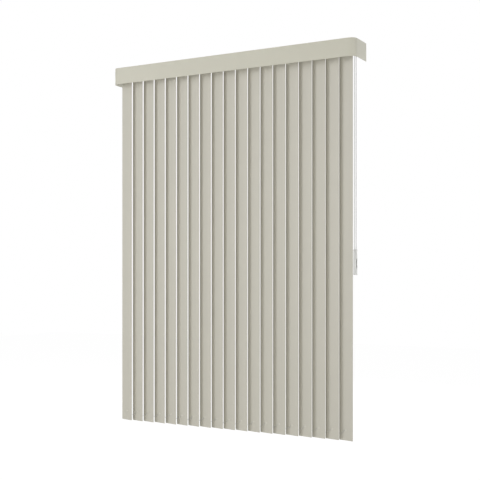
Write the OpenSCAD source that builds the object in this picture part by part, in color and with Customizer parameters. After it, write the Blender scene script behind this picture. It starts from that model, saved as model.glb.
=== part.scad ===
// Wall-mounted vertical blind. Vanes turn on carriers that nest along a slotted headrail, a bead chain
// works them from the right end, and a wrapped valance hides the rail.
// Millimetres, +Z up. The wall is the plane Y = 0 and the room lies towards -Y.

/* [Vanes] */
// Number of vanes along the rail
vane_count = 19; // [5:1:19]
// Distance between neighbouring vane axes
vane_pitch = 79; // [74:1:84]
// Width of a vane
vane_width = 89; // [80:1:98]
// Length of a vane
vane_length = 2058; // [1400:1:2400]
// Thickness of a vane
vane_thick = 0.8; // [0.6:0.1:1.2]
// Radius of a vane's corners
vane_corner = 3; // [1:0.5:8]
// Angle of the vanes to the rail as they hang
vane_tilt = 14.5; // [10:0.5:80]

/* [Vane hook] */
// Width of the hook's shoulder
hook_width = 12; // [10:0.5:13]
// Thickness of the hook across the vane
hook_thick = 3.8; // [3:0.1:4]
// Height of the hook's shoulder
hook_shoulder = 6; // [4:0.5:10]
// Length of the two fingers that hold the vane
finger_length = 13; // [10:0.5:18]
// Width of the two fingers
finger_width = 9; // [7:0.5:11]
// Width of the peg through the vane
peg_width = 6.4; // [4:0.2:8]
// Height of the peg through the vane
peg_height = 3; // [2:0.2:4]
// Distance of the peg below the shoulder
peg_drop = 6; // [5:0.5:8]
// Radius of the hook's shaft
shaft_r = 3; // [2.4:0.1:3.6]
// Radius of the collar below the rail
collar_r = 5; // [4:0.2:6]
// Height of the collar below the rail
collar_height = 3; // [2:0.5:5]

/* [Chain clip] */
// Height of the chain clip above the vane's bottom edge
clip_height = 55; // [40:1:80]
// Length of the chain clip along the vane
clip_length = 13; // [10:0.5:15]
// Height of the chain clip
clip_width = 9; // [4:0.5:10]
// Thickness of the chain clip across the vane
clip_thick = 3.6; // [2.6:0.1:3.8]
// Length of the clip's hub in the vane
clip_hub = 9; // [7:0.5:11]
// Radius of the bottom chain
bottom_chain_r = 1.2; // [0.8:0.1:1.6]
// Radius of the wire at the ends of each span
bottom_wire_r = 0.4; // [0.3:0.1:0.6]
// Sag of the bottom chain between two vanes
bottom_chain_sag = 20; // [10:1:30]

/* [Headrail] */
// Distance from the wall to the row of vane axes
wall_reach = 117; // [100:1:140]
// Width of the headrail
rail_width = 42; // [42:0.5:50]
// Height of the headrail
rail_height = 36; // [34:0.5:44]
// Wall of the headrail
rail_wall = 1.5; // [1:0.1:2]
// Width of the slot under the headrail
rail_slot = 14; // [12:0.5:18]
// Height of the guide lips beside the slot
rail_guide = 1; // [0.6:0.1:1.4]
// Reach of the lips along the top of the headrail
rail_lip = 2.5; // [2:0.1:4]
// Length of headrail past the axis of the last vane
rail_overhang = 44; // [44:1:60]

/* [Carrier] */
// Length of a carrier along the rail
carrier_length = 15; // [15:0.5:18]
// Width of a carrier's block
carrier_width = 30; // [30:0.5:31]
// Gap between the rail's floor and a carrier
carrier_lift = 1.5; // [1.5:0.1:2]
// Height of the block under the gear
carrier_base = 6; // [5:0.5:8]
// Height of the block above the gear
carrier_roof = 4; // [3:0.5:5]
// Radius of a wheel
wheel_r = 4.5; // [3.5:0.1:5]
// Width of a wheel
wheel_width = 3; // [2:0.2:3.2]
// Radius of a wheel's axle
axle_r = 1.2; // [0.8:0.1:1.6]

/* [Tilt gear] */
// Teeth of the gear on a hook
gear_teeth = 12; // [8:1:16]
// Radius of the gear at its tips
gear_tip_r = 5.8; // [5:0.1:5.8]
// Radius of the gear at its roots
gear_root_r = 4.2; // [3.6:0.1:4.4]
// Height of the gear
gear_height = 9.7; // [8:0.1:11]
// Radius of the journal above the gear
journal_r = 2; // [1.5:0.1:2.5]
// Radius of the worm at its crests
worm_r = 4.4; // [4:0.1:4.4]
// Depth of the worm's grooves
worm_groove = 0.8; // [0.5:0.1:1]
// Crests on the worm
worm_crests = 4; // [3:1:5]
// Radius of the six-sided tilt rod at its corners
rod_r = 2.5; // [2:0.1:2.6]

/* [Spacer links] */
// Thickness of a spacer link
link_thick = 0.4; // [0.3:0.1:0.5]
// Free height between the levels of two links
level_gap = 0.6; // [0.5:0.1:0.7]
// Width of a spacer link
link_width = 4; // [3:0.2:4.4]
// Width of the stop at the end of a link
stop_width = 8.4; // [7.6:0.2:8.6]
// Length of the stop at the end of a link
stop_length = 1.5; // [1:0.1:2]
// Length of the tab that holds a link in its carrier
tab_length = 3; // [2:0.2:3]
// Wall of the channel that the links run in
channel_wall = 1.5; // [1:0.1:2]
// Clear width of the channel that the links run in
channel_width = 9.2; // [9.2:0.2:10]

/* [Traverse] */
// Radius of the traverse cord
cord_r = 0.9; // [0.6:0.1:1]
// Radius of the cord's turn around a pulley
cord_turn_r = 7; // [6:0.2:7]
// Distance of the cord behind the row of vane axes
cord_offset = 11; // [10.5:0.1:12]
// Width of a cord pulley
pulley_width = 5; // [4:0.2:5]
// Flange of a cord pulley past the cord's turn
pulley_flange = 1.5; // [1:0.1:2]
// Radius of a cord pulley's pin
pin_r = 1.5; // [1:0.1:2]
// Distance of a cord pulley's pin from the rail's end
pulley_inset = 12; // [11:0.5:13]

/* [Control end] */
// Length of the plug inside each end of the rail
plug_length = 24; // [22:0.5:25]
// Length of the housing past the rail's end
housing_length = 20; // [20:0.5:24]
// Wall of the housing
housing_wall = 2; // [1.5:0.1:3]
// Thickness of the housing's cover
cover_thick = 1.8; // [1.2:0.1:2]
// Radius of the housing's edges
housing_corner = 4; // [2:0.5:6]
// Thickness of the idler cap's flange
flange_thick = 3; // [2:0.2:4]
// Distance of the chain past the rail's end
chain_inset = 13; // [12:0.2:13]
// Radius of the control chain's beads
chain_r = 2.25; // [1.8:0.05:2.3]
// Beads around the sprocket
sprocket_beads = 11; // [9:1:12]
// Radius of the bead centres on the sprocket
sprocket_r = 10.5; // [9:0.1:10.5]
// Thickness of a sprocket flange
sprocket_flange = 1.8; // [1.4:0.1:1.8]
// Rim of the sprocket past the bead centres
sprocket_rim = 1; // [0.5:0.1:1.2]
// Wall of the sprocket's hub
hub_wall = 2; // [1.5:0.1:3]

/* [Chain weight] */
// Height of the chain weight
weight_height = 134; // [110:1:150]
// Width of the chain weight along its pulley
weight_width = 30; // [30:0.5:40]
// Thickness of the chain weight
weight_thick = 14; // [14:0.2:18]
// Wall of the chain weight
weight_wall = 1.5; // [1:0.1:1.6]
// Radius of the weight's top corners
weight_top_r = 11; // [8:0.5:12]
// Radius of the weight's bottom corners
weight_foot_r = 3; // [2:0.5:6]
// Radius of the weight's upright edges
weight_edge_r = 5; // [3:0.2:5]
// Height of the weight's pulley above the weight's bottom edge
weight_pulley_height = 60; // [50:1:70]
// Height of the window over the pulley
window_height = 52; // [40:1:60]
// Width of the window over the pulley
window_width = 8; // [6:0.5:12]
// Width of the weight's pulley
weight_pulley_width = 6; // [5.4:0.2:7]
// Radius of the axle of the weight's pulley
weight_axle_r = 2.5; // [2:0.1:4]

/* [Valance] */
// Height of the valance
valance_height = 97; // [80:1:120]
// Thickness of the valance
valance_thick = 2; // [1.5:0.1:3]
// Outer radius of the valance's front corners
valance_corner = 36; // [20:1:40]
// Height of the valance's top edge above the rail
valance_rise = 14; // [13:0.5:20]
// Gap between the vanes' sweep and the valance
valance_room = 3.5; // [3:0.5:10]
// Gap between the control housing's corner and the valance's round corner
valance_side_room = 0.5; // [0.5:0.5:10]
// Depth of the rib inside the valance
rib_depth = 8; // [6:0.5:10]
// Thickness of the rib inside the valance
rib_thick = 2; // [1.5:0.1:2.5]

/* [Brackets] */
// Distance from the middle bracket to an outer bracket
bracket_spacing = 560; // [400:10:600]
// Width of a wall bracket
bracket_width = 30; // [24:1:40]
// Height of a wall bracket's leg
bracket_leg = 52; // [46:1:60]
// Thickness of a wall bracket
bracket_thick = 2; // [1.5:0.1:3]
// Radius of the bend in a wall bracket
bracket_bend = 4; // [3.5:0.5:6]
// Size of the ribs in the bend
gusset_size = 18; // [12:1:22]
// Distance between the two screw holes
hole_spacing = 24; // [20:1:28]
// Radius of a screw hole
hole_r = 2.4; // [2:0.1:3]
// Reach of a bracket's arm past the vane axes
arm_reach = 14; // [10:1:20]
// Width of a rail clip
rail_clip_width = 18; // [14:1:24]
// Thickness of a rail clip
rail_clip_thick = 1.2; // [1:0.1:1.5]
// Room between a rail clip and the rail
rail_clip_rise = 4.8; // [4:0.2:6]
// Radius of a clip bolt
bolt_r = 2.4; // [2:0.1:2.6]
// Radius of a clip bolt's head
bolt_head_r = 4.5; // [4:0.1:6]
// Height of a clip bolt's head
bolt_head = 2.5; // [2:0.1:3]
// Radius of a nut at its corners
nut_r = 4.6; // [4:0.1:5.5]
// Height of a nut
nut_height = 3.5; // [3:0.1:4]
// Distance from the middle to an inner valance clip
valance_clip_near = 280; // [200:10:400]
// Distance from the middle to an outer valance clip
valance_clip_far = 690; // [650:5:700]
// Width of a valance clip
valance_clip_width = 22; // [16:1:30]
// Thickness of a valance clip
valance_clip_thick = 2; // [1.5:0.1:2.5]

/* [Hidden] */
$fn = 48;
cut = 1; // overrun of every cut
stack_gap = 1; // room between carriers that are drawn together
collar_gap = 1; // room between the rail and a hook's collar
run_gap = 0.05; // radial play of a shaft in its bore
seat_gap = 0.15; // play of a piece in its seat
side_gap = 0.3; // play between pieces that move past each other
bead_gap = 0.8; // play of a bead in its pocket on the sprocket
hex_sides = 6;
cord_sides = 8;

// Places along the rail and across it
axis_y = -wall_reach;
function vane_x(i) = (i - (vane_count - 1) / 2) * vane_pitch;
rail_end = vane_x(vane_count - 1) + rail_overhang;
rail_top = bracket_leg / 2 - bracket_thick - rail_clip_thick - rail_clip_rise;
rail_bottom = rail_top - rail_height;
rail_inside = rail_width / 2 - rail_wall;
rail_floor = rail_bottom + rail_wall;

// Levels in a carrier, from the rail's floor up
carrier_bottom = rail_floor + carrier_lift;
pocket_floor = carrier_bottom + carrier_base;
gear_bottom = pocket_floor + seat_gap;
pocket_top = gear_bottom + gear_height + seat_gap;
block_top = pocket_top + carrier_roof;
link_step = link_thick + level_gap;
stack_pitch = carrier_length + stack_gap;
link_reach = vane_pitch + carrier_length / 2 + side_gap + stop_length;
link_levels = ceil((link_reach + carrier_length / 2) / stack_pitch);
function link_z(i) = block_top + level_gap + (i % link_levels) * link_step;
channel_top = block_top + level_gap + link_levels * link_step;
wheel_z = rail_floor + side_gap + wheel_r;
wheel_y = carrier_width / 2 + side_gap;

// The tilt rod and the traverse cord
rod_y = axis_y - gear_tip_r - side_gap - worm_r;
rod_z = (pocket_floor + pocket_top) / 2;
rod_bore_r = rod_r + run_gap;
rod_room_r = rod_r + side_gap;
cord_y = axis_y + cord_offset;
pulley_r = cord_turn_r + pulley_flange;
pulley_x = rail_end - pulley_inset;
pin_front = cord_y - pulley_width;

// The vane below its hook
collar_top = rail_bottom - collar_gap;
shoulder_top = collar_top - collar_height;
shoulder_bottom = shoulder_top - hook_shoulder;
vane_top = shoulder_bottom - seat_gap;
vane_bottom = vane_top - vane_length;
clip_z = vane_bottom + clip_height;
peg_z = shoulder_bottom - peg_drop;
finger_inner = vane_thick / 2 + seat_gap;

// The control end
chain_x = rail_end + chain_inset;
chain_room = chain_r + side_gap;
housing_front = rod_y - sprocket_r - chain_room - housing_wall;
housing_back = axis_y + rail_width / 2;
housing_depth = housing_length - cover_thick;
cavity_back = rod_y + sprocket_r + chain_room;
cavity_top = rod_z + sprocket_r + chain_room;
sprocket_groove = 2 * chain_room;
sprocket_root_r = sprocket_r - chain_room;
sprocket_rim_r = sprocket_r + sprocket_rim;
pocket_r = chain_r + bead_gap;
hub_r = rod_r + hub_wall;

// The weight hangs on the loop, so it takes its place from the loop's lowest turn
weight_pulley_z = -1150;
weight_bottom = weight_pulley_z - weight_pulley_height;
weight_pulley_root_r = sprocket_r - chain_room;

// The valance, whose round corners pass the front corner of the control housing
valance_inside = axis_y - vane_width / 2 - valance_room;
valance_front = valance_inside - valance_thick;
corner_inner_r = valance_corner - valance_thick;
corner_depth = max(corner_inner_r - (housing_front - valance_inside), 0);
corner_setback = corner_inner_r - sqrt(corner_inner_r ^ 2 - corner_depth ^ 2);
valance_half = rail_end + housing_length + valance_side_room + corner_setback + valance_thick;
valance_top = rail_top + valance_rise;
valance_bottom = valance_top - valance_height;
rib_bottom = rail_top + valance_clip_thick + seat_gap;
rib_edge = valance_inside + rib_depth;

// Brackets and clips
arm_top = bracket_leg / 2;
arm_bottom = arm_top - bracket_thick;
lip_edge = rail_width / 2 + rail_lip;

// Hand-picked route of the control chain in the plane of the sprocket, as Y and Z
chain_route = [
    [-128.5, 6.5], [-132, 5.5], [-135, 3.5], [-137, 0.5], [-138, -4], [-138, -20], [-138, -60],
    [-138, -120], [-138, -220], [-138, -340], [-138, -460], [-138, -580], [-138, -700], [-138, -820],
    [-138, -940], [-138, -1040], [-138, -1110], [-138, -1150], [-137, -1154.5], [-135, -1157.5],
    [-131.5, -1159.7], [-127.5, -1160.5], [-123.5, -1159.7], [-120, -1157.5], [-118, -1154.5],
    [-117, -1150], [-117, -1110], [-117, -1040], [-117, -940], [-117, -820], [-117, -700],
    [-117, -580], [-117, -460], [-117, -340], [-117, -220], [-117, -120], [-117, -60], [-117, -20],
    [-117, -4], [-118, 0.5], [-120, 3.5], [-123, 5.5], [-126.5, 6.5]
];
// Hand-picked hang of one span of the bottom chain, as shares of its length and of its sag
hang_shares = [[0, 0], [0.14, 0.48], [0.32, 0.87], [0.5, 1], [0.68, 0.87], [0.86, 0.48], [1, 0]];

// Names of the pieces
function two_digits(i) = i < 9 ? str("0", i + 1) : str(i + 1);
function vane_name(i) = str("vane_", two_digits(i));
function carrier_name(i) = str("carrier_", two_digits(i));

// Colours
vane_colour = [0.77, 0.76, 0.71];
white_colour = [0.93, 0.93, 0.92];
metal_colour = [0.75, 0.76, 0.77];
steel_colour = [0.6, 0.61, 0.63];
cord_colour = [0.88, 0.88, 0.86];

// Extrudes a flat shape drawn in Y and Z along X
module along_x(from, to) {
    translate([from, 0, 0])
        rotate([90, 0, 90])
            linear_extrude(to - from)
                children();
}

// Round bar along X
module bar_x(from, to, y, z, r, sides = $fn) {
    translate([from, y, z])
        rotate([0, 90, 0])
            cylinder(r = r, h = to - from, $fn = sides);
}

// Round bar along Y
module bar_y(from, to, x, z, r) {
    translate([x, from, z])
        rotate([-90, 0, 0])
            cylinder(r = r, h = to - from);
}

// Box between two corners
module box(low, high) {
    translate(low)
        cube(high - low);
}

// Flat rectangle between two corners
module flat(low, high) {
    translate(low)
        square(high - low);
}

// Flat rectangle with its own radius at the lower and at the upper corners
module round_flat(low, high, low_r, high_r) {
    flat([low.x + low_r, low.y], [high.x - low_r, (low.y + high.y) / 2]);
    flat([low.x, low.y + low_r], [high.x, high.y - high_r]);
    flat([low.x + high_r, (low.y + high.y) / 2], [high.x - high_r, high.y]);
    for (x = [low.x + low_r, high.x - low_r])
        translate([x, low.y + low_r])
            circle(r = low_r);
    for (x = [low.x + high_r, high.x - high_r])
        translate([x, high.y - high_r])
            circle(r = high_r);
}

// Flat slot with round ends, centred
module slot_flat(length, width) {
    square([length - width, width], center = true);
    for (side = [-1, 1])
        translate([side * (length - width) / 2, 0])
            circle(r = width / 2);
}

// Tube swept along points that lie in one plane, with a radius for each point
function ring_at(points, k, radius, across) =
    let (
        ahead = points[min(k + 1, len(points) - 1)] - points[max(k - 1, 0)],
        along = ahead / norm(ahead),
        side = cross(across, along)
    )
    [for (s = [0 : cord_sides - 1])
        points[k] + radius * (cos(360 * s / cord_sides) * side + sin(360 * s / cord_sides) * across)];

module swept_cord(points, radii, across) {
    last = len(points) - 1;
    rings = [for (k = [0 : last]) each ring_at(points, k, radii[k], across)];
    walls = [
        for (k = [0 : last - 1], s = [0 : cord_sides - 1])
            let (t = (s + 1) % cord_sides, a = k * cord_sides, b = a + cord_sides)
                [a + s, a + t, b + t, b + s]
    ];
    first_cap = [for (s = [cord_sides - 1 : -1 : 0]) s];
    last_cap = [for (s = [0 : cord_sides - 1]) last * cord_sides + s];
    polyhedron(rings, concat(walls, [first_cap, last_cap]));
}

// One vane's sheet, with the hook's hole at its top and the clip's hole near its bottom
module vane_sheet() {
    half = vane_width / 2;
    rotate([90, 0, 0])
        linear_extrude(vane_thick, center = true)
            difference() {
                round_flat([-half, vane_bottom], [half, vane_top], vane_corner, vane_corner);
                translate([0, peg_z])
                    square([peg_width + 2 * seat_gap, peg_height + 2 * seat_gap], center = true);
                translate([0, clip_z])
                    slot_flat(clip_hub + 2 * seat_gap, clip_width / 2 + 2 * seat_gap);
            }
}

// Flat outline of the gear, its teeth tapering to their tips
module gear_flat() {
    step = 360 / gear_teeth;
    tip_share = 0.16;
    root_share = 0.3;
    circle(r = gear_root_r);
    for (k = [0 : gear_teeth - 1])
        rotate(k * step)
            polygon([
                [0, 0],
                gear_root_r * [cos(root_share * step), -sin(root_share * step)],
                gear_tip_r * [cos(tip_share * step), -sin(tip_share * step)],
                gear_tip_r * [cos(tip_share * step), sin(tip_share * step)],
                gear_root_r * [cos(root_share * step), sin(root_share * step)]
            ]);
}

// Hook that hangs a vane in its carrier, with the gear and journal above
module vane_hook() {
    half = hook_thick / 2;
    translate([0, 0, gear_bottom + gear_height])
        cylinder(r = journal_r, h = carrier_roof);
    translate([0, 0, gear_bottom])
        linear_extrude(gear_height)
            gear_flat();
    translate([0, 0, collar_top])
        cylinder(r = shaft_r, h = gear_bottom - collar_top);
    translate([0, 0, shoulder_top])
        cylinder(r = collar_r, h = collar_height);
    box([-hook_width / 2, -half, shoulder_bottom], [hook_width / 2, half, shoulder_top]);
    for (side = [0, 1])
        mirror([0, side, 0])
            box(
                [-finger_width / 2, finger_inner, shoulder_bottom - finger_length],
                [finger_width / 2, half, shoulder_bottom]
            );
    box([-peg_width / 2, -half, peg_z - peg_height / 2], [peg_width / 2, half, peg_z + peg_height / 2]);
}

// Clip in the vane that the two spans of bottom chain meet
module chain_clip() {
    translate([0, 0, clip_z])
        rotate([90, 0, 0]) {
            linear_extrude(clip_thick, center = true)
                slot_flat(clip_hub, clip_width / 2);
            for (side = [0, 1])
                mirror([0, 0, side])
                    translate([0, 0, finger_inner])
                        linear_extrude(clip_thick / 2 - finger_inner)
                            slot_flat(clip_length, clip_width);
        }
}

module vane(i) {
    translate([vane_x(i), axis_y, 0])
        rotate(-vane_tilt) {
            color(vane_colour) vane_sheet();
            color(white_colour) vane_hook();
            color(white_colour) chain_clip();
        }
}

// Block of a carrier: gear pocket, worm bay, cord holes and the channel for the links
module carrier_block(i) {
    half = carrier_length / 2;
    wide = carrier_width / 2;
    bay_half = half - channel_wall;
    bay_r = worm_r + side_gap;
    lane = channel_width / 2;
    rod_in = rod_y - axis_y;
    difference() {
        union() {
            box([-half, -wide, carrier_bottom], [half, wide, block_top]);
            for (side = [-1, 1])
                box(
                    [-half, min(side * lane, side * (lane + channel_wall)), block_top],
                    [half, max(side * lane, side * (lane + channel_wall)), channel_top]
                );
            bar_y(-wheel_y - wheel_width - side_gap, wheel_y + wheel_width + side_gap, 0, wheel_z, axle_r);
            if (i < vane_count - 1)
                link_lips(i + 1);
        }
        translate([0, 0, carrier_bottom - cut])
            cylinder(r = shaft_r + run_gap, h = carrier_base + 2 * cut);
        translate([0, 0, pocket_floor])
            cylinder(r = gear_tip_r + side_gap, h = pocket_top - pocket_floor);
        translate([0, 0, pocket_top - cut])
            cylinder(r = journal_r + run_gap, h = carrier_roof + 2 * cut);
        bar_x(-bay_half, bay_half, rod_in, rod_z, bay_r);
        box([-bay_half, -wide - cut, rod_z - bay_r], [bay_half, rod_in, rod_z + bay_r]);
        bar_x(-half - cut, half + cut, rod_in, rod_z, rod_room_r);
        for (side = [-1, 1])
            bar_x(-half - cut, half + cut, cord_offset, rod_z + side * cord_turn_r, cord_r + side_gap);
        if (i > 0)
            box(
                [half - side_gap - tab_length - run_gap, -wide, link_z(i) - run_gap],
                [half - side_gap + run_gap, wide, link_z(i) + link_thick + run_gap]
            );
    }
}

// Lips in the channel that stop the next carrier's link from pulling through
module link_lips(i) {
    lane = channel_width / 2;
    for (side = [0, 1])
        mirror([0, side, 0])
            box(
                [-carrier_length / 2, link_width / 2 + side_gap, link_z(i)],
                [-carrier_length / 2 + tab_length, lane + channel_wall / 2, link_z(i) + link_thick]
            );
}

// Spacer link: a steel strip with a tab in its own carrier and a stop beyond the next one
module spacer_link(i) {
    tab_end = carrier_length / 2 - side_gap;
    tab_half = channel_width / 2 + channel_wall;
    translate([0, 0, link_z(i)])
        linear_extrude(link_thick) {
            flat([-link_reach, -link_width / 2], [tab_end, link_width / 2]);
            flat([tab_end - tab_length, -tab_half], [tab_end, tab_half]);
            flat([-link_reach, -stop_width / 2], [-link_reach + stop_length, stop_width / 2]);
        }
}

// Worm on the tilt rod, with ring grooves
module worm() {
    half = carrier_length / 2 - channel_wall - side_gap;
    step = 2 * half / worm_crests;
    crest_share = 0.3;
    slope_share = 0.15;
    translate([-half, rod_y - axis_y, rod_z])
        rotate([0, 90, 0])
            rotate_extrude()
                polygon(concat(
                    [[rod_room_r, 2 * half], [rod_room_r, 0]],
                    [for (k = [0 : worm_crests - 1]) each [
                        [worm_r - worm_groove, k * step],
                        [worm_r - worm_groove, (k + slope_share) * step],
                        [worm_r, (k + 2 * slope_share) * step],
                        [worm_r, (k + 2 * slope_share + crest_share) * step],
                        [worm_r - worm_groove, (k + 3 * slope_share + crest_share) * step]
                    ]],
                    [[worm_r - worm_groove, 2 * half]]
                ));
}

// The two wheels that roll on the rail's floor
module wheels() {
    for (side = [0, 1])
        mirror([0, side, 0])
            difference() {
                bar_y(wheel_y, wheel_y + wheel_width, 0, wheel_z, wheel_r);
                bar_y(wheel_y - cut, wheel_y + wheel_width + cut, 0, wheel_z, axle_r + run_gap);
            }
}

module carrier(i) {
    translate([vane_x(i), axis_y, 0]) {
        color(white_colour) carrier_block(i);
        color(cord_colour) wheels();
        color(cord_colour) worm();
        if (i > 0)
            color(steel_colour) spacer_link(i);
    }
}

// Profile of the slotted channel with lips along its top edges: each half is the mirror of the other
function mirrored(points) = [for (k = [len(points) - 1 : -1 : 0]) [-points[k].x, points[k].y]];

module headrail() {
    half = rail_width / 2;
    guide = rail_slot / 2;
    lip_bottom = rail_top - rail_wall;
    guide_top = rail_floor + rail_guide;
    outside = [
        [guide, rail_bottom], [half, rail_bottom], [half, lip_bottom], [lip_edge, lip_bottom],
        [lip_edge, rail_top]
    ];
    inside = [
        [rail_inside, lip_bottom], [rail_inside, rail_floor], [guide + rail_wall, rail_floor],
        [guide + rail_wall, guide_top], [guide, guide_top]
    ];
    color(metal_colour)
        along_x(-rail_end, rail_end)
            translate([axis_y, 0])
                polygon(concat(outside, mirrored(outside), mirrored(inside), inside));
}

module tilt_rod() {
    color(metal_colour)
        bar_x(-rail_end + flange_thick, chain_x + sprocket_groove / 2, rod_y, rod_z, rod_r, hex_sides);
}

// Sprocket with two scalloped flanges; its hub runs from the housing's wall to its cover
module chain_sprocket() {
    low = rail_end + housing_wall + seat_gap;
    high = rail_end + housing_depth - seat_gap;
    half = sprocket_groove / 2;
    color(white_colour)
        difference() {
            union() {
                bar_x(low, high, rod_y, rod_z, hub_r);
                bar_x(chain_x - half, chain_x + half, rod_y, rod_z, sprocket_root_r);
                bar_x(chain_x - half - sprocket_flange, chain_x - half, rod_y, rod_z, sprocket_rim_r);
                bar_x(chain_x + half, chain_x + half + sprocket_flange, rod_y, rod_z, sprocket_rim_r);
            }
            bar_x(low - cut, high + cut, rod_y, rod_z, rod_r + run_gap, hex_sides);
            for (k = [0 : sprocket_beads - 1])
                translate([chain_x, rod_y, rod_z])
                    rotate([k * 360 / sprocket_beads, 0, 0])
                        translate([0, 0, sprocket_r])
                            sphere(r = pocket_r);
        }
}

// Plug that fills one end of the rail, with the cord pulley's bay and the rod's bore
module rail_plug() {
    bay_r = pulley_r + side_gap;
    bay_half = pulley_width / 2 + side_gap;
    inner = rail_end - plug_length;
    difference() {
        along_x(inner, rail_end)
            translate([axis_y, 0])
                flat(
                    [-rail_inside + seat_gap, rail_floor + rail_guide + seat_gap],
                    [rail_inside - seat_gap, rail_top - rail_wall - seat_gap]
                );
        box(
            [inner - cut, cord_y - bay_half, rod_z - bay_r],
            [pulley_x + bay_r, cord_y + bay_half, rod_z + bay_r]
        );
        bar_y(pin_front, axis_y + rail_width, pulley_x, rod_z, pin_r + run_gap);
        bar_x(inner - cut, rail_end + cut, rod_y, rod_z, rod_bore_r);
    }
}

// Flat outline of the control housing
module housing_flat() {
    round_flat([housing_front, rail_bottom], [housing_back, rail_top], housing_corner, housing_corner);
}

// Housing of the sprocket, with the rail plug on its inner side and holes for the two chain runs
module control_housing() {
    color(white_colour) {
        rail_plug();
        difference() {
            along_x(rail_end, rail_end + housing_depth)
                housing_flat();
            box(
                [rail_end + housing_wall, housing_front + housing_wall, rail_bottom + housing_wall],
                [rail_end + housing_depth + cut, cavity_back, cavity_top]
            );
            bar_x(rail_end - cut, rail_end + housing_wall + cut, rod_y, rod_z, rod_bore_r);
            for (side = [-1, 1])
                translate([chain_x, rod_y + side * sprocket_r, rail_bottom - cut])
                    cylinder(r = chain_room, h = housing_wall + 2 * cut);
        }
    }
}

module housing_cover() {
    color(white_colour)
        along_x(rail_end + housing_depth, rail_end + housing_length)
            housing_flat();
}

// Cap of the far end: a flange outside the rail and the same plug inside it
module idler_end_cap() {
    color(white_colour) {
        mirror([1, 0, 0])
            rail_plug();
        along_x(-rail_end - flange_thick, -rail_end)
            round_flat(
                [axis_y - lip_edge, rail_bottom], [axis_y + lip_edge, rail_top],
                housing_corner, housing_corner
            );
    }
}

// Grooved pulley for the traverse cord, on a pin along Y
module cord_pulley(x) {
    half = pulley_width / 2;
    groove = cord_r + seat_gap;
    root = cord_turn_r - groove;
    translate([x, cord_y, rod_z])
        rotate([90, 0, 0])
            rotate_extrude()
                polygon([
                    [pin_r + run_gap, -half], [pulley_r, -half], [pulley_r, -groove], [root, -groove],
                    [root, groove], [pulley_r, groove], [pulley_r, half], [pin_r + run_gap, half]
                ]);
}

module drive_pulley() {
    color(white_colour) cord_pulley(pulley_x);
}

module idler_pulley() {
    color(white_colour) cord_pulley(-pulley_x);
}

module pulley_pins() {
    color(steel_colour)
        for (x = [-pulley_x, pulley_x])
            bar_y(pin_front, axis_y + rail_inside - seat_gap, x, rod_z, pin_r);
}

// Cord in the rail: two straight runs and a half turn round each pulley
module traverse_cord() {
    color(cord_colour) {
        for (side = [-1, 1])
            bar_x(-pulley_x, pulley_x, cord_y, rod_z + side * cord_turn_r, cord_r);
        for (side = [0, 1])
            mirror([side, 0, 0])
                translate([pulley_x, cord_y, rod_z])
                    rotate([90, 90, 0])
                        rotate_extrude(angle = 180)
                            translate([cord_turn_r, 0])
                                circle(r = cord_r);
    }
}

// Plan of the valance's outer or inner face: a front with two round corners, open at the wall
module valance_plan(half, front, r, back) {
    flat([-half, front + r], [half, back]);
    flat([-half + r, front], [half - r, front + r]);
    for (side = [-1, 1])
        translate([side * (half - r), front + r])
            circle(r = r);
}

module valance() {
    straight = valance_half - valance_corner;
    color(vane_colour) {
        translate([0, 0, valance_bottom])
            linear_extrude(valance_height)
                difference() {
                    valance_plan(valance_half, valance_front, valance_corner, 0);
                    valance_plan(valance_half - valance_thick, valance_inside, corner_inner_r, cut);
                }
        box(
            [-straight, valance_inside - valance_thick / 2, rib_bottom],
            [straight, rib_edge, rib_bottom + rib_thick]
        );
    }
}

// Flat outline of a clip that grips the rail's two top lips, drawn about the vane axes
module lip_grip_flat(thick, rise) {
    outer = lip_edge + seat_gap + thick;
    foot = rail_top - rail_wall - seat_gap;
    flat([-outer, rail_top + rise], [outer, rail_top + rise + thick]);
    for (side = [0, 1])
        mirror([side, 0]) {
            flat([lip_edge + seat_gap, foot - thick], [outer, rail_top + rise + thick]);
            flat([rail_width / 2 + seat_gap, foot - thick], [outer, foot]);
        }
}

// Clips that snap over the rail and hold the rib inside the valance
module valance_clips() {
    thick = valance_clip_thick;
    web = rib_edge + seat_gap;
    finger = rib_bottom + rib_thick + seat_gap;
    color(white_colour)
        for (side = [-1, 1], x = [valance_clip_near, valance_clip_far])
            along_x(side * x - valance_clip_width / 2, side * x + valance_clip_width / 2) {
                translate([axis_y, 0])
                    lip_grip_flat(thick, 0);
                flat([valance_inside + side_gap, rail_top], [axis_y, rail_top + thick]);
                flat([web, rail_top], [web + thick, finger + thick]);
                flat([web - rib_depth / 2, finger], [web + thick, finger + thick]);
            }
}

// Angle bracket: a leg with two screw holes on the wall and an arm over the rail
module wall_bracket(x) {
    arm_end = axis_y - arm_reach;
    bend = [-bracket_bend, arm_top - bracket_bend];
    half = bracket_width / 2;
    color(white_colour)
        translate([x, 0, 0])
            difference() {
                union() {
                    along_x(-half, half) {
                        flat([-bracket_thick, -bracket_leg / 2], [0, bend.y]);
                        flat([arm_end, arm_bottom], [bend.x, arm_top]);
                        intersection() {
                            translate(bend)
                                difference() {
                                    circle(r = bracket_bend);
                                    circle(r = bracket_bend - bracket_thick);
                                }
                            flat(bend, [0, arm_top]);
                        }
                    }
                    for (side = [0, 1])
                        mirror([side, 0, 0])
                            along_x(half - bracket_thick, half)
                                polygon([
                                    [-bracket_thick, arm_bottom], [-bracket_thick, arm_bottom - gusset_size],
                                    [-bracket_thick - gusset_size, arm_bottom]
                                ]);
                }
                for (side = [-1, 1])
                    bar_y(-bracket_thick - cut, cut, 0, side * hole_spacing / 2, hole_r);
                translate([0, axis_y, arm_bottom - cut])
                    cylinder(r = bolt_r + run_gap, h = bracket_thick + 2 * cut);
            }
}

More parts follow.
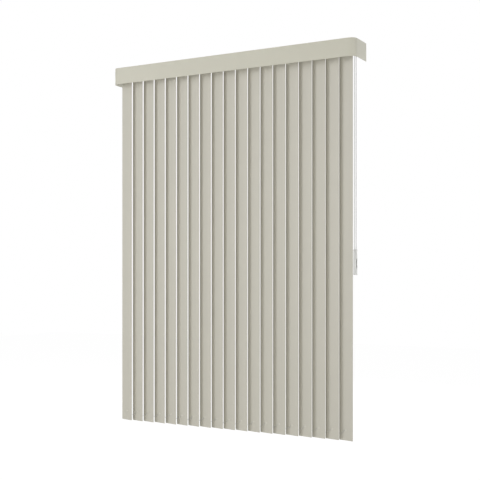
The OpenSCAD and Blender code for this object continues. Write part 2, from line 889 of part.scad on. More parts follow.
// Spring clips under the bracket arms that grip the rail's lips
module rail_clips() {
    color(steel_colour)
        for (x = [-bracket_spacing, 0, bracket_spacing])
            difference() {
                along_x(x - rail_clip_width / 2, x + rail_clip_width / 2)
                    translate([axis_y, 0])
                        lip_grip_flat(rail_clip_thick, rail_clip_rise);
                translate([x, axis_y, rail_top])
                    cylinder(r = bolt_r + run_gap, h = rail_clip_rise + rail_clip_thick + cut);
            }
}

// Bolts and nuts that hold the rail clips to the bracket arms
module clip_bolts() {
    plate = arm_bottom - rail_clip_thick;
    color(steel_colour)
        for (x = [-bracket_spacing, 0, bracket_spacing])
            translate([x, axis_y, 0]) {
                translate([0, 0, plate - bolt_head])
                    cylinder(r = bolt_head_r, h = bolt_head);
                translate([0, 0, plate])
                    cylinder(r = bolt_r, h = arm_top + nut_height - plate);
                translate([0, 0, arm_top])
                    difference() {
                        cylinder(r = nut_r, h = nut_height, $fn = hex_sides);
                        translate([0, 0, -cut])
                            cylinder(r = bolt_r + run_gap, h = nut_height + 2 * cut);
                    }
            }
}

// Loop of bead chain from the sprocket down to the weight and back
module control_chain() {
    points = [for (p = chain_route) [chain_x, p.x, p.y]];
    color(cord_colour)
        swept_cord(points, [for (p = points) chain_r], [1, 0, 0]);
}

// Outside of the chain weight, smaller by a wall where it is hollow
module weight_form(wall) {
    half = weight_width / 2 - wall;
    deep = weight_thick / 2 - wall;
    edge_r = weight_edge_r - wall;
    foot_r = max(weight_foot_r - wall, wall);
    low = weight_bottom + wall;
    high = weight_bottom + weight_height - wall;
    intersection() {
        along_x(chain_x - deep, chain_x + deep)
            translate([rod_y, 0])
                round_flat([-half, low], [half, high], foot_r, weight_top_r - wall);
        translate([chain_x, rod_y, low])
            linear_extrude(high - low)
                round_flat([-deep, -half], [deep, half], edge_r, edge_r);
    }
}

// One half of the weight's shell, open at the top where the chain runs in
module weight_half(from, to) {
    intersection() {
        difference() {
            weight_form(0);
            weight_form(weight_wall);
            for (side = [-1, 1])
                translate([chain_x, rod_y + side * sprocket_r, weight_pulley_z])
                    cylinder(r = chain_room, h = weight_height);
        }
        box(
            [from, rod_y - weight_width, weight_bottom - cut],
            [to, rod_y + weight_width, weight_bottom + weight_height + cut]
        );
    }
}

// Half towards the vanes, with the pulley's axle
module weight_inner_half() {
    color(white_colour) {
        weight_half(chain_x - weight_thick, chain_x);
        bar_x(
            chain_x - weight_thick / 2 + weight_wall / 2, chain_x + weight_pulley_width / 2,
            rod_y, weight_pulley_z, weight_axle_r
        );
    }
}

// Half away from the vanes, with the window over the pulley
module weight_outer_half() {
    color(white_colour)
        difference() {
            weight_half(chain_x, chain_x + weight_thick);
            along_x(chain_x + weight_thick / 4, chain_x + weight_thick)
                translate([rod_y, weight_pulley_z])
                    rotate(90)
                        slot_flat(window_height, window_width);
        }
}

module weight_pulley() {
    half = weight_pulley_width / 2;
    groove = chain_room;
    bore_r = weight_axle_r + run_gap;
    color(cord_colour)
        translate([chain_x, rod_y, weight_pulley_z])
            rotate([0, 90, 0])
                rotate_extrude()
                    polygon([
                        [bore_r, -half], [sprocket_r, -half], [sprocket_r, -groove],
                        [weight_pulley_root_r, -groove], [weight_pulley_root_r, groove],
                        [sprocket_r, groove], [sprocket_r, half], [bore_r, half]
                    ]);
}

// Spans of chain between the clips of neighbouring vanes
module bottom_chain() {
    start = clip_length / 2 + bottom_wire_r + side_gap;
    span = vane_pitch - 2 * start;
    last = len(hang_shares) - 1;
    radii = [for (k = [0 : last]) k == 0 || k == last ? bottom_wire_r : bottom_chain_r];
    color(cord_colour)
        for (i = [0 : vane_count - 2])
            swept_cord(
                [for (s = hang_shares)
                    [vane_x(i) + start + s.x * span, axis_y, clip_z - s.y * bottom_chain_sag]],
                radii, [0, 1, 0]
            );
}

for (i = [0 : vane_count - 1]) {
    vane(i);
    carrier(i);
}
headrail();
tilt_rod();
chain_sprocket();
control_housing();
housing_cover();
idler_end_cap();
drive_pulley();
idler_pulley();
pulley_pins();
traverse_cord();
valance();
valance_clips();
wall_bracket(-bracket_spacing);  // wall_bracket_left
wall_bracket(0);  // wall_bracket_centre
wall_bracket(bracket_spacing);  // wall_bracket_right
rail_clips();
clip_bolts();
control_chain();
weight_inner_half();
weight_outer_half();
weight_pulley();
bottom_chain();
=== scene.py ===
"""Looks of a wall-mounted vertical blind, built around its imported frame.

Metres, +Z up. The wall is the plane Y = 0 and the room lies towards -Y.
"""

import logging
import math
from dataclasses import dataclass
from enum import Enum, IntEnum
from typing import Any, Optional, Union

import bmesh
import bpy
from mathutils import Matrix, Vector


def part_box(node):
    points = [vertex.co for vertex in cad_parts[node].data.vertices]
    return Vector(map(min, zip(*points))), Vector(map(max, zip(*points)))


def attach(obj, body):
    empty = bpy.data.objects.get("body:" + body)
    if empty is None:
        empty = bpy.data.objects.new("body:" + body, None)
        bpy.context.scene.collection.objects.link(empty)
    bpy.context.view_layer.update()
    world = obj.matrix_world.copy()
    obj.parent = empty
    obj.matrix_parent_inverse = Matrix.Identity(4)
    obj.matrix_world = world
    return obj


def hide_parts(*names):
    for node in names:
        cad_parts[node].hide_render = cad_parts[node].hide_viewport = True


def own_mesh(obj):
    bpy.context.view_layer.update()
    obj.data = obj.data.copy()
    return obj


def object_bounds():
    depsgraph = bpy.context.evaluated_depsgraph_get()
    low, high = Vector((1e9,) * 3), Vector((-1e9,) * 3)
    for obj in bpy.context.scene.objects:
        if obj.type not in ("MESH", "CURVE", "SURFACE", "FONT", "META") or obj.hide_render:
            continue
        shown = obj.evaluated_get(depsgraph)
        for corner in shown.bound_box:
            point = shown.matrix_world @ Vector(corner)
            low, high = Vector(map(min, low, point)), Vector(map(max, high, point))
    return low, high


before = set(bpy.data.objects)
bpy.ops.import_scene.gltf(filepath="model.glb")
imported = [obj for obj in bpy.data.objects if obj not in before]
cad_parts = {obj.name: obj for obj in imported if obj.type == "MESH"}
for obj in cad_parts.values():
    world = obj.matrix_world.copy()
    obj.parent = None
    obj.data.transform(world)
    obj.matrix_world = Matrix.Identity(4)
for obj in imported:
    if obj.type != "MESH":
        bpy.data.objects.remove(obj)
cad_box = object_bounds()

MM = 0.001
ROOT = "root"
log = logging.getLogger("vertical_blind")

Colour = tuple[float, float, float]
Rgba = tuple[float, float, float, float]
Term = Union["Wire", float]

WHITE: Colour = (1.0, 1.0, 1.0)
PALE_GREY: Colour = (0.95, 0.95, 0.95)

# The broad clouds under every finish: how many in a metre, and how fine
CLOUD_SCALE = 3.5
CLOUD_DETAIL = 3.0
# What the fine marks add to the tone beside the clouds, and the tone at which nothing wanders
MARK_SHARE = 0.5
MIDDLE_TONE = 0.5


class Run(Enum):
    """Direction in which a profile was drawn: scales of X, Y and Z that draw its fine marks out."""

    ALONG_ROW = (0.02, 1.0, 1.0)
    UPRIGHT = (1.0, 1.0, 0.006)
    LEVEL = (0.02, 0.02, 1.0)
    NONE = (1.0, 1.0, 1.0)


class VanePart(IntEnum):
    """Material slots of a vane."""

    SHEET = 0
    CLIP = 1
    HOOK = 2


class CarrierPart(IntEnum):
    """Material slots of a carrier."""

    BLOCK = 0
    LINK = 1


class StrandPart(IntEnum):
    """Material slots of a strand of beads."""

    BEAD = 0
    STRING = 1


def linear(colour: Colour) -> Rgba:
    """Turns a colour as seen on a display into scene light.

    Args:
        colour: red, green and blue from 0 to 1.

    Returns:
        Red, green, blue and alpha for a colour socket.
    """
    low_end, low_slope, lift, power = 0.04045, 12.92, 0.055, 2.4
    light = [c / low_slope if c <= low_end else ((c + lift) / (1 + lift)) ** power for c in colour]
    return (*light, 1.0)


class Wire:
    """A shader socket that takes part in arithmetic: each operator adds a Math node."""

    def __init__(self, sheet: "NodeSheet", socket: Optional[bpy.types.NodeSocket]) -> None:
        """Wraps one output socket, or none on a node that ends the tree."""
        self.sheet = sheet
        self.socket = socket

    def out(self, name: str) -> "Wire":
        """Another output of the same node."""
        return Wire(self.sheet, self.socket.node.outputs[name])

    def math(self, operation: str, *terms: Term) -> "Wire":
        """Adds a Math node.

        Args:
            operation: the node's operation.
            terms: its inputs, in order.

        Returns:
            The node's result.
        """
        return self.sheet.add("ShaderNodeMath", {"operation": operation}, dict(enumerate(terms)))

    def __add__(self, other: Term) -> "Wire":
        """Sum."""
        return self.math("ADD", self, other)

    def __radd__(self, other: Term) -> "Wire":
        """Sum with a number on the left."""
        return self.math("ADD", other, self)

    def __sub__(self, other: Term) -> "Wire":
        """Difference."""
        return self.math("SUBTRACT", self, other)

    def __rsub__(self, other: Term) -> "Wire":
        """Difference with a number on the left."""
        return self.math("SUBTRACT", other, self)

    def __mul__(self, other: Term) -> "Wire":
        """Product."""
        return self.math("MULTIPLY", self, other)

    def __rmul__(self, other: Term) -> "Wire":
        """Product with a number on the left."""
        return self.math("MULTIPLY", other, self)

    def __or__(self, other: Term) -> "Wire":
        """The larger of two masks."""
        return self.math("MAXIMUM", self, other)


class NodeSheet:
    """The node tree of a material or of the world."""

    def __init__(self, tree: bpy.types.NodeTree) -> None:
        """Starts from an empty tree."""
        self.tree = tree
        tree.nodes.clear()

    def add(
        self,
        kind: str,
        settings: Optional[dict[str, Any]] = None,
        inputs: Optional[dict[Union[str, int], Any]] = None,
        output: Union[str, int] = 0,
    ) -> Wire:
        """Adds one node.

        Args:
            kind: the node's type.
            settings: its own properties, set first.
            inputs: values or wires for its sockets, by name or number.
            output: the socket to return.

        Returns:
            The wanted output.
        """
        node = self.tree.nodes.new(kind)
        for name, value in (settings or {}).items():
            setattr(node, name, value)
        for name, value in (inputs or {}).items():
            if isinstance(value, Wire):
                self.tree.links.new(value.socket, node.inputs[name])
            else:
                node.inputs[name].default_value = value
        return Wire(self, node.outputs[output] if node.outputs else None)

    def mix_colour(self, share: Term, first: Any, second: Any) -> Wire:
        """Colour between two colours.

        Args:
            share: 0 for the first, 1 for the second.
            first: a colour or a wire.
            second: a colour or a wire.

        Returns:
            The mixed colour.
        """
        # A Mix node's colour sockets share their names with its other sockets, so they go by number
        factor, colour_a, colour_b, result = 0, 6, 7, 2
        sockets = {factor: share, colour_a: first, colour_b: second}
        return self.add("ShaderNodeMix", {"data_type": "RGBA"}, sockets, result)

    def stretched(self, scales: tuple[float, float, float]) -> Wire:
        """Object coordinates, scaled by axis.

        Args:
            scales: the factors along X, Y and Z.

        Returns:
            The scaled coordinates.
        """
        place = self.add("ShaderNodeTexCoord", output="Object")
        return self.add("ShaderNodeMapping", inputs={"Vector": place, "Scale": scales})

    def noise(self, place: Wire, scale: float, detail: float = 2.0) -> Wire:
        """Noise from 0 to 1.

        Args:
            place: coordinates.
            scale: marks in a metre.
            detail: octaves.

        Returns:
            The noise.
        """
        return self.add("ShaderNodeTexNoise", inputs={"Vector": place, "Scale": scale, "Detail": detail})


@dataclass(frozen=True)
class Finish:
    """A finish: its colour, its gloss, and how far both wander over the surface."""

    name: str
    colour: Colour
    roughness: float
    wander: float
    gloss_play: float
    mark_scale: float
    mark_depth: float
    run: Run = Run.NONE
    metallic: float = 0.0
    coat: float = 0.0

    def marks(self, sheet: NodeSheet) -> Wire:
        """Fine marks of the surface.

        Args:
            sheet: the material's nodes.

        Returns:
            A height from 0 to 1.
        """
        return sheet.noise(sheet.stretched(self.run.value), self.mark_scale)

    def clouds(self, sheet: NodeSheet) -> Wire:
        """Broad unevenness of the colour, from 0 to 1."""
        return sheet.noise(sheet.stretched(Run.NONE.value), CLOUD_SCALE, CLOUD_DETAIL)

    def tinted(self, factor: float) -> Rgba:
        """The colour as light, brighter or darker by a factor."""
        return (*(min(c * factor, 1.0) for c in linear(self.colour)[:3]), 1.0)

    def material(self) -> bpy.types.Material:
        """Makes the material.

        Returns:
            A material with its own nodes.
        """
        made = bpy.data.materials.new(self.name)
        made.use_nodes = True
        sheet = NodeSheet(made.node_tree)
        marks = self.marks(sheet)
        tone = MARK_SHARE * marks + (1 - MARK_SHARE) * self.clouds(sheet)
        relief = {"Strength": 1.0, "Distance": self.mark_depth, "Height": marks}
        bump = sheet.add("ShaderNodeBump", inputs=relief)
        dark, light = self.tinted(1 - self.wander), self.tinted(1 + self.wander)
        shader = sheet.add(
            "ShaderNodeBsdfPrincipled",
            inputs={
                "Base Color": sheet.mix_colour(tone, dark, light),
                "Roughness": self.roughness + self.gloss_play * (tone - MIDDLE_TONE),
                "Metallic": self.metallic,
                "Coat Weight": self.coat,
                "Normal": bump,
            },
        )
        sheet.add("ShaderNodeOutputMaterial", inputs={"Surface": shader})
        return made


@dataclass(frozen=True)
class Moulding(Finish):
    """Moulded plastic, with the fine grain of its mould."""

    wander: float = 0.012
    gloss_play: float = 0.08
    mark_scale: float = 1600.0
    mark_depth: float = 0.01 * MM


@dataclass(frozen=True)
class SpangledSteel(Finish):
    """Zinc plate, whose crystals catch the light each in its own way."""

    def marks(self, sheet: NodeSheet) -> Wire:
        """Crystals of the plating.

        Args:
            sheet: the material's nodes.

        Returns:
            A height from 0 to 1.
        """
        place = sheet.stretched(Run.NONE.value)
        return sheet.add(
            "ShaderNodeTexVoronoi", inputs={"Vector": place, "Scale": self.mark_scale}, output="Distance"
        )


@dataclass(frozen=True)
class BraidedCord(Finish):
    """Braided cord, with strands that cross along its length."""

    lean: float = 0.6

    def marks(self, sheet: NodeSheet) -> Wire:
        """Crossing strands.

        Args:
            sheet: the material's nodes.

        Returns:
            A height from 0 to 1.
        """
        strands = [
            sheet.add(
                "ShaderNodeTexWave",
                {"bands_direction": "DIAGONAL"},
                {"Vector": sheet.stretched((1.0, 0.0, slant)), "Scale": self.mark_scale},
                "Fac",
            )
            for slant in (self.lean, -self.lean)
        ]
        return strands[0] | strands[1]


VANE_PVC = Finish(
    "vane_pvc", (0.790, 0.776, 0.725), roughness=0.46, wander=0.02, gloss_play=0.06,
    mark_scale=700.0, mark_depth=0.03 * MM, run=Run.UPRIGHT,
)
VALANCE_PVC = Finish(
    "valance_pvc", (0.803, 0.793, 0.731), roughness=0.44, wander=0.015, gloss_play=0.06,
    mark_scale=700.0, mark_depth=0.03 * MM, run=Run.LEVEL,
)
WHITE_MOULDING = Moulding("white_moulding", (0.90, 0.90, 0.885), roughness=0.32)
CARRIER_MOULDING = Moulding("carrier_moulding", (0.86, 0.86, 0.84), roughness=0.42, wander=0.015)
CLIP_MOULDING = Moulding("clip_moulding", (0.825, 0.812, 0.765), roughness=0.38)
WEIGHT_MOULDING = Moulding("weight_moulding", (0.84, 0.84, 0.825), roughness=0.34)
CHAIN_BEAD = Moulding(
    "chain_bead", (0.75, 0.75, 0.74), roughness=0.28, gloss_play=0.06,
    mark_scale=1200.0, mark_depth=0.006 * MM,
)
# Darker than the beads: the string's own grey with painted shade between the beads added to it
SHADED_CHAIN_STRING = BraidedCord(
    "chain_string_painted_shade", (0.66, 0.66, 0.65), roughness=0.7, wander=0.06, gloss_play=0.05,
    mark_scale=900.0, mark_depth=0.05 * MM,
)
WHITE_BRAID = BraidedCord(
    "white_braid", (0.88, 0.88, 0.86), roughness=0.75, wander=0.06, gloss_play=0.05,
    mark_scale=320.0, mark_depth=0.15 * MM,
)
MILL_ALUMINIUM = Finish(
    "mill_aluminium", (0.84, 0.845, 0.85), roughness=0.38, wander=0.04, gloss_play=0.14,
    mark_scale=1500.0, mark_depth=0.02 * MM, run=Run.ALONG_ROW, metallic=1.0,
)
BRACKET_PAINT = Finish(
    "bracket_paint", (0.89, 0.89, 0.875), roughness=0.36, wander=0.012, gloss_play=0.06,
    mark_scale=450.0, mark_depth=0.05 * MM, coat=0.2,
)
ZINC_STEEL = SpangledSteel(
    "zinc_steel", (0.72, 0.73, 0.745), roughness=0.34, wander=0.08, gloss_play=0.16,
    mark_scale=260.0, mark_depth=0.02 * MM, metallic=1.0,
)


class Wardrobe:
    """Makes each finish once and puts it on CAD nodes and new pieces."""

    def __init__(self) -> None:
        """Starts with nothing made."""
        self.made: dict[str, bpy.types.Material] = {}

    def get(self, finish: Finish) -> bpy.types.Material:
        """Finds a finish's material, and makes it at its first use.

        Args:
            finish: the finish.

        Returns:
            Its material.
        """
        if finish.name not in self.made:
            self.made[finish.name] = finish.material()
        return self.made[finish.name]

    def dress(self, piece: bpy.types.Object, *finishes: Finish) -> None:
        """Gives a piece its finishes in place of what it had.

        Args:
            piece: a CAD node's object or a new piece.
            finishes: its material slots, in order.
        """
        piece.data.materials.clear()
        for finish in finishes:
            piece.data.materials.append(self.get(finish))

    def dress_nodes(self, finish: Finish, *names: str) -> None:
        """Gives whole CAD nodes one finish.

        Args:
            finish: the finish.
            names: the nodes.
        """
        for name in names:
            self.dress(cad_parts[name], finish)
            log.info("%s wears %s", name, finish.name)


@dataclass(frozen=True)
class VaneRow:
    """The vanes, and the places along the rail that the rest of the row shares."""

    count: int = 19
    pitch: float = 79 * MM
    stack_pitch: float = 16 * MM
    axis_y: float = -117 * MM
    tilt: float = math.radians(14.5)
    half_thick: float = 0.4 * MM
    slack: float = 0.05 * MM

    def numbers(self) -> range:
        """Vane numbers, from the far end of the rail to the control end."""
        return range(1, self.count + 1)

    def axis_x(self, number: int) -> float:
        """Where a vane's axis stands along the rail."""
        return (number - (self.count + 1) / 2) * self.pitch

    def carrier_body(self, number: int) -> str:
        """The body that a vane hangs from: the last carrier stands still."""
        return ROOT if number == self.count else f"carrier_{number:02d}"

    def is_sheet(self, number: int, corners: list[Vector]) -> bool:
        """Tells a face of a vane's sheet from one of its hook or clip.

        Args:
            number: the vane.
            corners: the face's corners.

        Returns:
            True where every corner lies in the sheet's thickness.
        """
        axis = Vector((self.axis_x(number), self.axis_y, 0))
        across = Vector((math.sin(self.tilt), math.cos(self.tilt), 0))
        return all(abs((corner - axis).dot(across)) < self.half_thick + self.slack for corner in corners)

    def dress(self, wardrobe: Wardrobe) -> None:
        """Puts their finishes on the sheet, the chain clip and the hook of every vane.

        Args:
            wardrobe: the finishes.
        """
        for number in self.numbers():
            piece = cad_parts[f"vane_{number:02d}"]
            wardrobe.dress(piece, VANE_PVC, CLIP_MOULDING, WHITE_MOULDING)
            low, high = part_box(piece.name)
            half_height = (low.z + high.z) / 2
            mesh = piece.data
            for face in mesh.polygons:
                corners = [mesh.vertices[v].co for v in face.vertices]
                if self.is_sheet(number, corners):
                    face.material_index = VanePart.SHEET
                else:
                    face.material_index = VanePart.CLIP if corners[0].z < half_height else VanePart.HOOK
            log.info("%s wears %s", piece.name, VANE_PVC.name)


@dataclass(frozen=True)
class CarrierRow:
    """The carriers: moulded blocks with a steel spacer link each."""

    row: VaneRow
    link_low: float = 5.6 * MM
    link_step: float = 1.0 * MM
    link_thick: float = 0.4 * MM
    link_levels: int = 6
    slack: float = 0.02 * MM

    def is_link(self, number: int, corners: list[Vector]) -> bool:
        """Tells a face of a carrier's link from one of its block.

        Args:
            number: the carrier.
            corners: the face's corners.

        Returns:
            True where every corner lies in the link's thickness.
        """
        low = self.link_low + (number - 1) % self.link_levels * self.link_step
        return all(low - self.slack < corner.z < low + self.link_thick + self.slack for corner in corners)

    def dress(self, wardrobe: Wardrobe) -> None:
        """Puts the moulding's finish and the link's steel on every carrier.

        Args:
            wardrobe: the finishes.
        """
        for number in self.row.numbers():
            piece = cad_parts[f"carrier_{number:02d}"]
            wardrobe.dress(piece, CARRIER_MOULDING, ZINC_STEEL)
            mesh = piece.data
            for face in mesh.polygons:
                corners = [mesh.vertices[v].co for v in face.vertices]
                face.material_index = CarrierPart.LINK if self.is_link(number, corners) else CarrierPart.BLOCK
            log.info("%s wears %s", piece.name, CARRIER_MOULDING.name)


def put_in_order(shape: bmesh.types.BMesh) -> None:
    """Sorts edges and faces by their corners, so that every run gives them in one order.

    Args:
        shape: the mesh.
    """
    shape.verts.index_update()
    count = len(shape.verts)

    def rank(part: Union[bmesh.types.BMEdge, bmesh.types.BMFace]) -> int:
        """A part's rank by its lowest corner, then by its highest."""
        corners = [corner.index for corner in part.verts]
        return min(corners) * count + max(corners)

    shape.edges.sort(key=rank)
    shape.faces.sort(key=rank)


def finished(name: str, shape: bmesh.types.BMesh) -> bpy.types.Object:
    """Turns a shape into an object of the scene, with smooth faces that point outwards.

    Args:
        name: the piece's name.
        shape: its mesh, which is used up.

    Returns:
        The object.
    """
    bmesh.ops.recalc_face_normals(shape, faces=shape.faces)
    for face in shape.faces:
        face.smooth = True
    mesh = bpy.data.meshes.new(name)
    shape.to_mesh(mesh)
    shape.free()
    piece = bpy.data.objects.new(name, mesh)
    bpy.context.scene.collection.objects.link(piece)
    return piece


def eased(points: list[Vector], steps: int) -> list[Vector]:
    """Rounds a path through its own points, with a cubic between each two.

    Args:
        points: the path.
        steps: pieces between two points.

    Returns:
        A closer path through the same points.
    """
    path = []
    for k in range(len(points) - 1):
        before, a = points[max(k - 1, 0)], points[k]
        b, after = points[k + 1], points[min(k + 2, len(points) - 1)]
        for step in range(steps):
            t = step / steps
            path.append(
                0.5 * (
                    2 * a + (b - before) * t
                    + (2 * before - 5 * a + 4 * b - after) * t ** 2
                    + (3 * a - before - 3 * b + after) * t ** 3
                )
            )
    return path + [points[-1]]


@dataclass(frozen=True)
class BeadStrand:
    """Beads on a string, along a path that lies in one plane."""

    name: str
    path: list[Vector]
    across: Vector
    bead_r: float
    bead_pitch: float
    string_r: float
    bare_end: float
    string_sides: int = 6
    bead_segments: int = 10
    bead_rings: int = 6

    def length(self) -> float:
        """Length of the path."""
        return sum((b - a).length for a, b in zip(self.path, self.path[1:]))

    def place(self, distance: float) -> Vector:
        """Finds a point on the path.

        Args:
            distance: how far along the path it lies.

        Returns:
            The point.
        """
        left = distance
        for a, b in zip(self.path, self.path[1:]):
            step = (b - a).length
            if left <= step:
                return a.lerp(b, left / step)
            left -= step
        return self.path[-1]

    def ring_matrix(self, k: int) -> Matrix:
        """Frame of the string's ring at one point of the path.

        Args:
            k: the point's number.

        Returns:
            A matrix whose Z axis runs along the path.
        """
        along = (self.path[min(k + 1, len(self.path) - 1)] - self.path[max(k - 1, 0)]).normalized()
        turn = Matrix((self.across, along.cross(self.across), along)).transposed().to_4x4()
        return Matrix.Translation(self.path[k]) @ turn

    def add_string(self, shape: bmesh.types.BMesh) -> None:
        """Sweeps a ring along the path and closes both ends.

        Args:
            shape: a mesh that is still empty.
        """
        bmesh.ops.create_circle(
            shape, segments=self.string_sides, radius=self.string_r, matrix=self.ring_matrix(0)
        )
        ring = list(shape.edges)
        ends = [ring]
        for k in range(1, len(self.path)):
            grown = bmesh.ops.extrude_edge_only(shape, edges=ring)["geom"]
            corners = [part for part in grown if isinstance(part, bmesh.types.BMVert)]
            ring = [
                part for part in grown
                if isinstance(part, bmesh.types.BMEdge) and all(v in corners for v in part.verts)
            ]
            step = self.ring_matrix(k) @ self.ring_matrix(k - 1).inverted()
            bmesh.ops.transform(shape, matrix=step, verts=corners)
        ends.append(ring)
        for end in ends:
            bmesh.ops.edgeloop_fill(shape, edges=end)
        put_in_order(shape)

    def bead(self) -> bpy.types.Mesh:
        """Models one bead at the origin.

        Returns:
            Its mesh, to be copied along the string.
        """
        shape = bmesh.new()
        bmesh.ops.create_uvsphere(
            shape, u_segments=self.bead_segments, v_segments=self.bead_rings, radius=self.bead_r
        )
        put_in_order(shape)
        mesh = bpy.data.meshes.new(f"{self.name}_bead")
        shape.to_mesh(mesh)
        shape.free()
        return mesh

    def add_beads(self, shape: bmesh.types.BMesh) -> None:
        """Threads the beads, evenly between the bare ends.

        Args:
            shape: the mesh to add to.
        """
        free = self.length() - 2 * self.bare_end
        gaps = round(free / self.bead_pitch)
        bead = self.bead()
        last = Vector()
        for k in range(gaps + 1):
            place = self.place(self.bare_end + free * k / gaps)
            bead.transform(Matrix.Translation(place - last))
            shape.from_mesh(bead)
            last = place
        bpy.data.meshes.remove(bead)

    def build(self, wardrobe: Wardrobe) -> bpy.types.Object:
        """Models the strand and dresses it: the beads, added last, keep the first finish.

        Args:
            wardrobe: the finishes.

        Returns:
            Its object.
        """
        shape = bmesh.new()
        self.add_string(shape)
        for face in shape.faces:
            face.material_index = StrandPart.STRING
        self.add_beads(shape)
        piece = finished(self.name, shape)
        wardrobe.dress(piece, CHAIN_BEAD, SHADED_CHAIN_STRING)
        return piece


# The control chain's route in the plane of the sprocket, in millimetres of Y and Z
CHAIN_ROUTE = [
    (-128.5, 6.5), (-132, 5.5), (-135, 3.5), (-137, 0.5), (-138, -4), (-138, -20), (-138, -60),
    (-138, -120), (-138, -220), (-138, -340), (-138, -460), (-138, -580), (-138, -700), (-138, -820),
    (-138, -940), (-138, -1040), (-138, -1110), (-138, -1150), (-137, -1154.5), (-135, -1157.5),
    (-131.5, -1159.7), (-127.5, -1160.5), (-123.5, -1159.7), (-120, -1157.5), (-118, -1154.5),
    (-117, -1150), (-117, -1110), (-117, -1040), (-117, -940), (-117, -820), (-117, -700),
    (-117, -580), (-117, -460), (-117, -340), (-117, -220), (-117, -120), (-117, -60), (-117, -20),
    (-117, -4), (-118, 0.5), (-120, 3.5), (-123, 5.5), (-126.5, 6.5),
]
# The hang of one span of the bottom chain, as shares of its length and of its sag
HANG_SHARES = [(0, 0), (0.14, 0.48), (0.32, 0.87), (0.5, 1), (0.68, 0.87), (0.86, 0.48), (1, 0)]


@dataclass(frozen=True)
class ControlChain:
    """Loop of bead chain from the sprocket down to the weight and back."""

    bead_r: float = 2.25 * MM
    bead_pitch: float = 5 * MM
    string_r: float = 0.8 * MM

    def build(self, wardrobe: Wardrobe) -> None:
        """Args:
            wardrobe: the finishes.
        """
        low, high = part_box("control_chain")
        middle = (low.x + high.x) / 2
        path = [Vector((middle, y * MM, z * MM)) for y, z in CHAIN_ROUTE]
        strand = BeadStrand(
            "control_chain_beads", path, Vector((1, 0, 0)),
            self.bead_r, self.bead_pitch, self.string_r, self.bead_r,
        )
        piece = strand.build(wardrobe)
        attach(piece, ROOT)
        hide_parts("control_chain")
        strand.length()
        2 * self.bead_r
        log.info("%s is %.3f m long", piece.name, strand.length())


@dataclass(frozen=True)
class BottomChain:
    """Spans of fine bead chain between the clips of neighbouring vanes."""

    row: VaneRow
    clip_height: float = 55 * MM
    clip_reach: float = 7.2 * MM
    sag: float = 20 * MM
    bead_r: float = 1.2 * MM
    bead_pitch: float = 3.1 * MM
    string_r: float = 0.4 * MM
    steps: int = 5

    def path(self, number: int) -> list[Vector]:
        """The way of one span, from the middle of one clip to the middle of the next.

        Args:
            number: the vane at the span's left end.

        Returns:
            Points along the span.
        """
        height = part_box("vane_01")[0].z + self.clip_height
        start, end = self.row.axis_x(number), self.row.axis_x(number + 1)
        span = end - start - 2 * self.clip_reach
        hang = [
            Vector((start + self.clip_reach + x * span, self.row.axis_y, height - z * self.sag))
            for x, z in HANG_SHARES
        ]
        clips = [Vector((x, self.row.axis_y, height)) for x in (start, end)]
        return [clips[0], *eased(hang, self.steps), clips[1]]

    def build(self, wardrobe: Wardrobe) -> None:
        """Args:
            wardrobe: the finishes.
        """
        for number in range(1, self.row.count):
            path = self.path(number)
            strand = BeadStrand(
                f"bottom_chain_{number:02d}", path, Vector((0, 1, 0)),
                self.bead_r, self.bead_pitch, self.string_r, self.clip_reach,
            )
            piece = strand.build(wardrobe)
            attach(piece, self.row.carrier_body(number + 1))
            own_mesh(piece)
            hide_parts("bottom_chain")
            strand.length()
            2 * self.bead_r
            log.info("%s is %.3f m long", piece.name, strand.length())


@dataclass(frozen=True)
class RailUnit:
    """The headrail with its drive, its end pieces and the chain weight."""

    metal: tuple[str, ...] = ("headrail", "tilt_rod")
    mouldings: tuple[str, ...] = (
        "chain_sprocket", "control_housing", "housing_cover", "idler_end_cap", "drive_pulley",
        "idler_pulley", "weight_pulley",
    )
    weight_shells: tuple[str, ...] = ("weight_inner_half", "weight_outer_half")

    def dress(self, wardrobe: Wardrobe) -> None:
        """Puts the rail's finishes on its nodes.

        Args:
            wardrobe: the finishes.
        """
        wardrobe.dress_nodes(MILL_ALUMINIUM, *self.metal)
        wardrobe.dress_nodes(WHITE_MOULDING, *self.mouldings)
        wardrobe.dress_nodes(WEIGHT_MOULDING, *self.weight_shells)
        wardrobe.dress_nodes(WHITE_BRAID, "traverse_cord")
        wardrobe.dress_nodes(ZINC_STEEL, "pulley_pins")


@dataclass(frozen=True)
class WallUnit:
    """The valance and what holds the blind to the wall."""

    brackets: tuple[str, ...] = ("wall_bracket_left", "wall_bracket_centre", "wall_bracket_right")
    fixings: tuple[str, ...] = ("rail_clips", "clip_bolts")

    def dress(self, wardrobe: Wardrobe) -> None:
        """Puts the finishes on the valance, brackets and clips.

        Args:
            wardrobe: the finishes.
        """
        wardrobe.dress_nodes(VALANCE_PVC, "valance")
        wardrobe.dress_nodes(WHITE_MOULDING, "valance_clips")
        wardrobe.dress_nodes(BRACKET_PAINT, *self.brackets)
        wardrobe.dress_nodes(ZINC_STEEL, *self.fixings)


@dataclass(frozen=True)
class Lamp:
    """A soft square lamp aimed at the blind."""

    name: str
    place: tuple[float, float, float]
    width: float
    power: float

    def build(self, target: Vector) -> None:
        """Hangs the lamp.

        Args:
            target: what it looks at.
        """
        light = bpy.data.lights.new(self.name, "AREA")
        light.size = self.width
        light.energy = self.power
        lamp = bpy.data.objects.new(self.name, light)
        lamp.location = self.place
        lamp.rotation_euler = (target - lamp.location).to_track_quat("-Z", "Y").to_euler()
        bpy.context.scene.collection.objects.link(lamp)


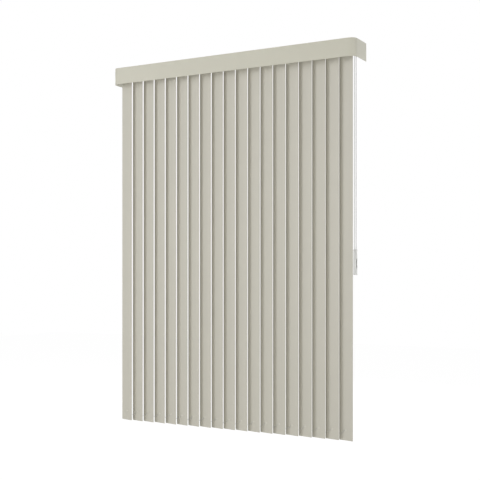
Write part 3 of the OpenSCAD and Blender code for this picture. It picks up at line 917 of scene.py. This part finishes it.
@dataclass(frozen=True)
class Studio:
    """Camera, lamps, floor and the white behind the blind."""

    camera_place: tuple[float, float, float] = (2.5683, -4.6289, -1.1946)
    camera_turn: float = math.radians(28.98)
    lens_mm: float = 68.687
    sensor_mm: float = 36.0
    rise_share: float = 0.0668
    ambient: float = 0.30
    lamps: tuple[Lamp, ...] = (
        Lamp("left_lamp", (-5.2, -5.8, 0.3), width=5.2, power=210.0),
        Lamp("front_lamp", (0.5, -5.4, -1.75), width=1.2, power=50.0),
        Lamp("right_lamp", (6.0, -1.6, -0.6), width=2.4, power=98.0),
        Lamp("back_lamp", (0.8, 4.0, -0.4), width=2.6, power=50.0),
    )
    floor_gap: float = 0.25
    floor_half: float = 9.0
    floor_shade: float = 0.2
    floor_light: float = 0.32

    def add_camera(self) -> None:
        """Sets up the camera at the photograph's angle, level and raised by its shift alone."""
        data = bpy.data.cameras.new("camera")
        data.sensor_width = self.sensor_mm
        data.lens = self.lens_mm
        data.shift_y = self.rise_share
        camera = bpy.data.objects.new("camera", data)
        camera.location = self.camera_place
        camera.rotation_euler = (math.pi / 2, 0, self.camera_turn)
        bpy.context.scene.collection.objects.link(camera)
        bpy.context.scene.camera = camera

    def seen(self, sheet: NodeSheet) -> Wire:
        """Mask of the rays that show the background: straight, mirrored or through glass.

        Args:
            sheet: the nodes to add to.

        Returns:
            1 on such rays, 0 on those that carry light.
        """
        path = sheet.add("ShaderNodeLightPath", output="Is Camera Ray")
        return path | path.out("Is Glossy Ray") | path.out("Is Transmission Ray")

    def add_world(self) -> None:
        """Makes the white behind the blind and the soft light from all sides."""
        world = bpy.data.worlds.new("studio")
        world.use_nodes = True
        sheet = NodeSheet(world.node_tree)
        white = linear(WHITE)
        light = sheet.add("ShaderNodeBackground", inputs={"Color": white, "Strength": self.ambient})
        shown = sheet.add("ShaderNodeBackground", inputs={"Color": white, "Strength": 1.0})
        both = sheet.add("ShaderNodeMixShader", inputs={0: self.seen(sheet), 1: light, 2: shown})
        sheet.add("ShaderNodeOutputWorld", inputs={"Surface": both})
        bpy.context.scene.world = world

    def add_floor(self) -> None:
        """Lays a pale floor under the blind that keeps a little of its shadow."""
        shape = bmesh.new()
        level = cad_box[0].z - self.floor_gap
        bmesh.ops.create_grid(shape, size=self.floor_half, matrix=Matrix.Translation((0, 0, level)))
        floor = finished("floor", shape)
        material = bpy.data.materials.new("studio_floor")
        material.use_nodes = True
        sheet = NodeSheet(material.node_tree)
        matt = sheet.add("ShaderNodeBsdfDiffuse", inputs={"Color": linear(PALE_GREY)})
        # The glow makes up what the matt share lacks, so that the lit floor shows as white
        glow = (1 - self.floor_shade * self.floor_light) / (1 - self.floor_shade)
        shown = sheet.add("ShaderNodeEmission", inputs={"Color": linear(WHITE), "Strength": glow})
        share = self.seen(sheet) * (1 - self.floor_shade)
        both = sheet.add("ShaderNodeMixShader", inputs={0: share, 1: matt, 2: shown})
        sheet.add("ShaderNodeOutputMaterial", inputs={"Surface": both})
        floor.data.materials.append(material)

    def build(self) -> None:
        """Sets up the whole studio."""
        bpy.context.scene.view_settings.view_transform = "Standard"
        self.add_camera()
        self.add_world()
        self.add_floor()
        middle = (cad_box[0] + cad_box[1]) / 2
        for lamp in self.lamps:
            lamp.build(middle)


def main() -> None:
    """Builds the studio and the blind's pieces in order."""
    logging.basicConfig(level=logging.INFO, format="%(name)s: %(message)s")
    wardrobe = Wardrobe()
    row = VaneRow()
    Studio().build()
    ControlChain().build(wardrobe)
    BottomChain(row).build(wardrobe)
    row.dress(wardrobe)
    CarrierRow(row).dress(wardrobe)
    RailUnit().dress(wardrobe)
    WallUnit().dress(wardrobe)


if __name__ == "__main__":
    main()
